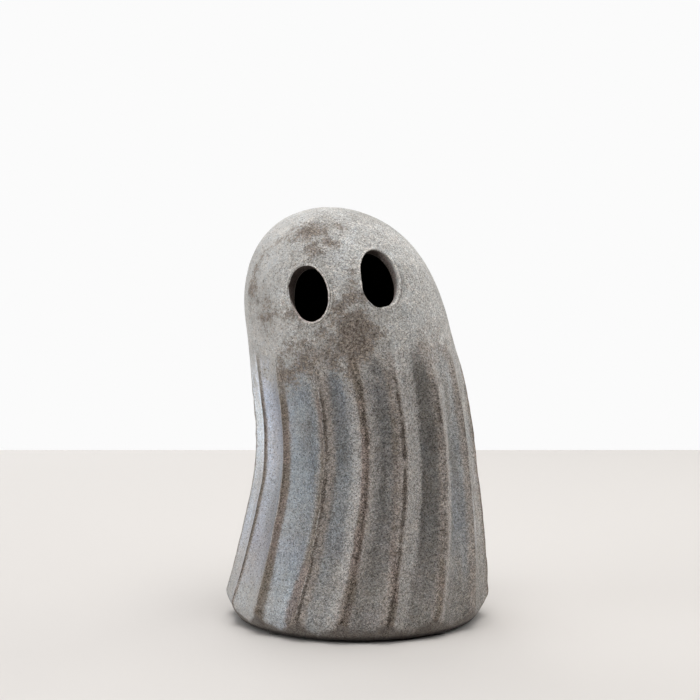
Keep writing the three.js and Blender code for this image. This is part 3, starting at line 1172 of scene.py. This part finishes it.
g = Graph("grey_felt")
tangle = g.add("ShaderNodeTexNoise", {"Vector": g.place, "Scale": 1 / (1.4 * MM), "Detail": 2.0})
tangled = g.vector_math("MULTIPLY_ADD", g.place, tangle.outputs["Color"], g.place)
fibres = g.noise(0.22, 4, 0.7, 1, g.vector_math("MULTIPLY", tangled, (1, 1, 3)))
tufts = g.noise(1.3, 3, 0.6, 2)
wool = g.two_tone(fibres, 0.35, 0.7, (0.055, 0.05, 0.046), (0.13, 0.12, 0.11))
g.put(g.shader.inputs["Base Color"], g.mix(g.step(tufts, 0.3, 0.75, 0.0, 0.5), wool, (0.09, 0.08, 0.07)))
g.put(g.shader.inputs["Roughness"], 1.0)
g.put(g.shader.inputs["Sheen Weight"], 0.3)
g.bump(g.plus(fibres, tufts), 0.9, 0.2)
for name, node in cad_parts.items():
    if name.startswith("foot_pad"):
        node.data.materials.clear()
        node.data.materials.append(g.material)


# Camera, fitted to the photograph

camera_data = bpy.data.cameras.new("camera")
camera_data.lens = 87.43
camera_data.sensor_width = 36
camera_data.clip_start, camera_data.clip_end = 0.05, 50
camera = bpy.data.objects.new("camera", camera_data)
camera.location = (-0.00393, -0.9905, 0.2302)
camera.rotation_euler = (math.radians(90 - 4.24), 0, 0)
bpy.context.scene.collection.objects.link(camera)
bpy.context.scene.camera = camera


# Table, and a dark room that the camera doesn't see, so that the light comes from the panels alone

def box_mesh(name, low, high):
    """A box from one corner to the other, in metres."""
    xs, ys, zs = zip(low, high)
    corners = np.array([(x, y, z) for z in zs for y in ys for x in xs]) / MM
    faces = [(0, 2, 3, 1), (4, 5, 7, 6), (0, 1, 5, 4), (2, 6, 7, 3), (0, 4, 6, 2), (1, 3, 7, 5)]
    return make_mesh(name, corners, faces)


def plain(name, colour):
    """A dull material of one colour."""
    material = bpy.data.materials.new(name)
    material.use_nodes = True
    shader = material.node_tree.nodes["Principled BSDF"]
    shader.inputs["Base Color"].default_value = (*colour, 1)
    shader.inputs["Roughness"].default_value = 0.9
    shader.inputs["Specular IOR Level"].default_value = 0.1
    return material


table = box_mesh("table_top", (-1.4, -0.6, -0.03), (1.4, 0.733, 0))
table.data.materials.append(plain("table_white", (0.70, 0.666, 0.636)))
room = box_mesh("dark_room", (-3, -3, -1.2), (3, 3, 3))
room.data.materials.append(plain("dark_cloth", (0.01, 0.01, 0.01)))
room.visible_camera = False


# Lights

COOL, WARM, WHITE = (0.96, 0.985, 1.01), (0.985, 1.0, 1.0), (1, 1, 1)
AIM = Vector((0, 0, 0.12))

# Soft panels that look at the figure: turn to the viewer's right and climb in degrees, power, colour,
# size and distance in metres
PANELS = {
    "left_window": (-70, 14, 11, COOL, 1.4, 1.6),
    "back_left": (-150, 14, 11.5, COOL, 1.4, 1.6),
    "back_right": (118, 14, 11.5, WARM, 1.3, 1.6),
    "right_high": (64, 45, 4.6, WARM, 1.3, 1.6),
    "behind": (180, 48, 5, WHITE, 0.8, 1.6),
    "ceiling": (0, 90, 14.5, WHITE, 1.5, 1.7),
    "ceiling_front": (0, 66, 11, WHITE, 1.2, 1.6),
}
for name, (turn, climb, power, colour, size, distance) in PANELS.items():
    data = bpy.data.lights.new(name, "AREA")
    data.shape = "SQUARE"
    data.size = size
    data.energy = power
    data.color = colour
    light = bpy.data.objects.new(name, data)
    turn, climb = math.radians(turn), math.radians(climb)
    way = Vector((math.sin(turn) * math.cos(climb), -math.cos(turn) * math.cos(climb), math.sin(climb)))
    light.location = AIM + way * distance
    light.rotation_euler = way.to_track_quat("Z", "Y").to_euler()
    light.visible_camera = False
    bpy.context.scene.collection.objects.link(light)

world = bpy.data.worlds.new("room")
bpy.context.scene.world = world
world.use_nodes = True
world.node_tree.nodes["Background"].inputs["Color"].default_value = (0.965, 0.965, 0.965, 1)
bpy.context.scene.view_settings.view_transform = "Standard"
